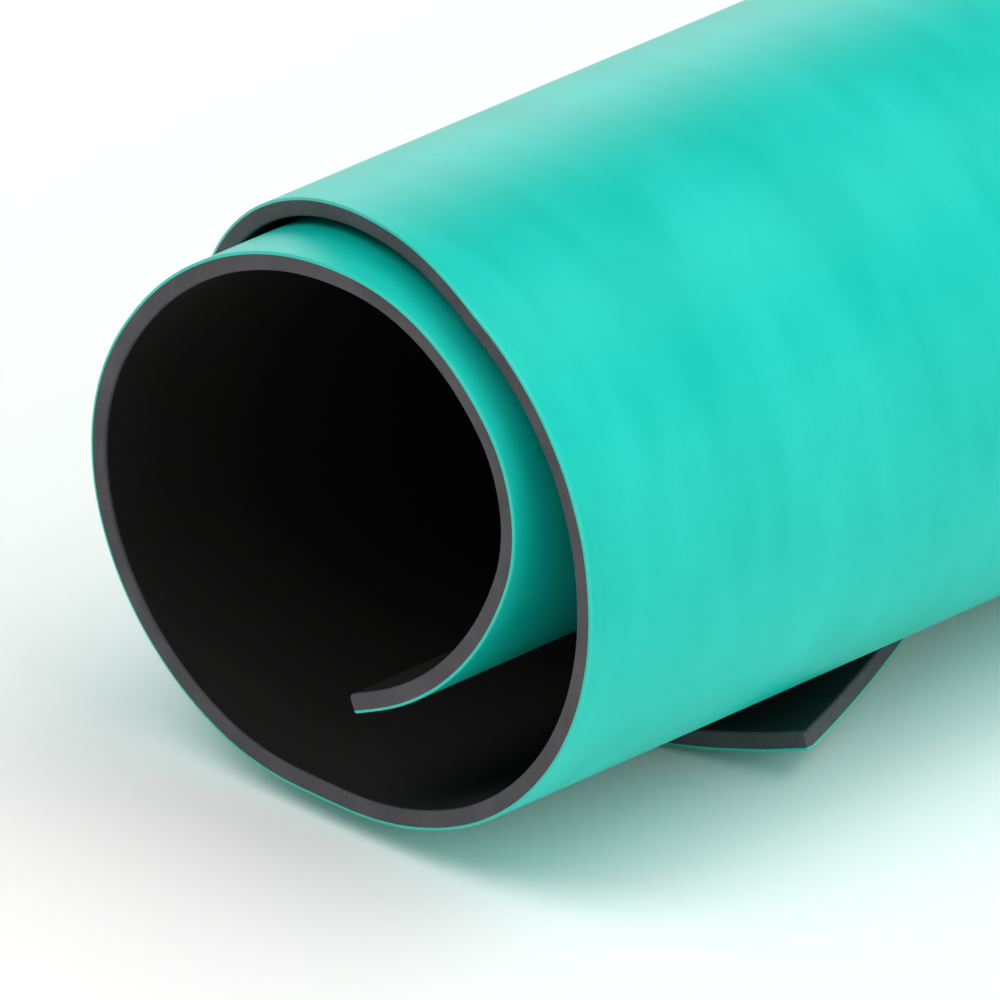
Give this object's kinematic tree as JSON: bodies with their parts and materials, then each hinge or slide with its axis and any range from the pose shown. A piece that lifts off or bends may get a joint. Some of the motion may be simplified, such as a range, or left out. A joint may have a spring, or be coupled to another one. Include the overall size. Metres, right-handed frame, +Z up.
{
  "type": "rolled anti-static bench mat",
  "caption": "Thin two-layer rubber mat, green dissipative top on a black conductive base, loosely rolled up with one corner lying loose under the roll.",
  "frame": {"origin": "centre of the roll's bounding box on the floor that it lies on", "axes": "+Y along the roll's axis away from the telescoped near end, +X across it towards the loose corner, +Z up"},
  "size_m": [0.0718, 0.5344, 0.0658],
  "materials": {
    "top_layer": "smooth satin turquoise-green rubber",
    "base_layer": "matte carbon-black rubber, dark grey on its cut edges"
  },
  "bodies": {
    "root": {"dissipative_top_layer": "top_layer", "conductive_base_layer": "base_layer"}
  },
  "joints": []
}
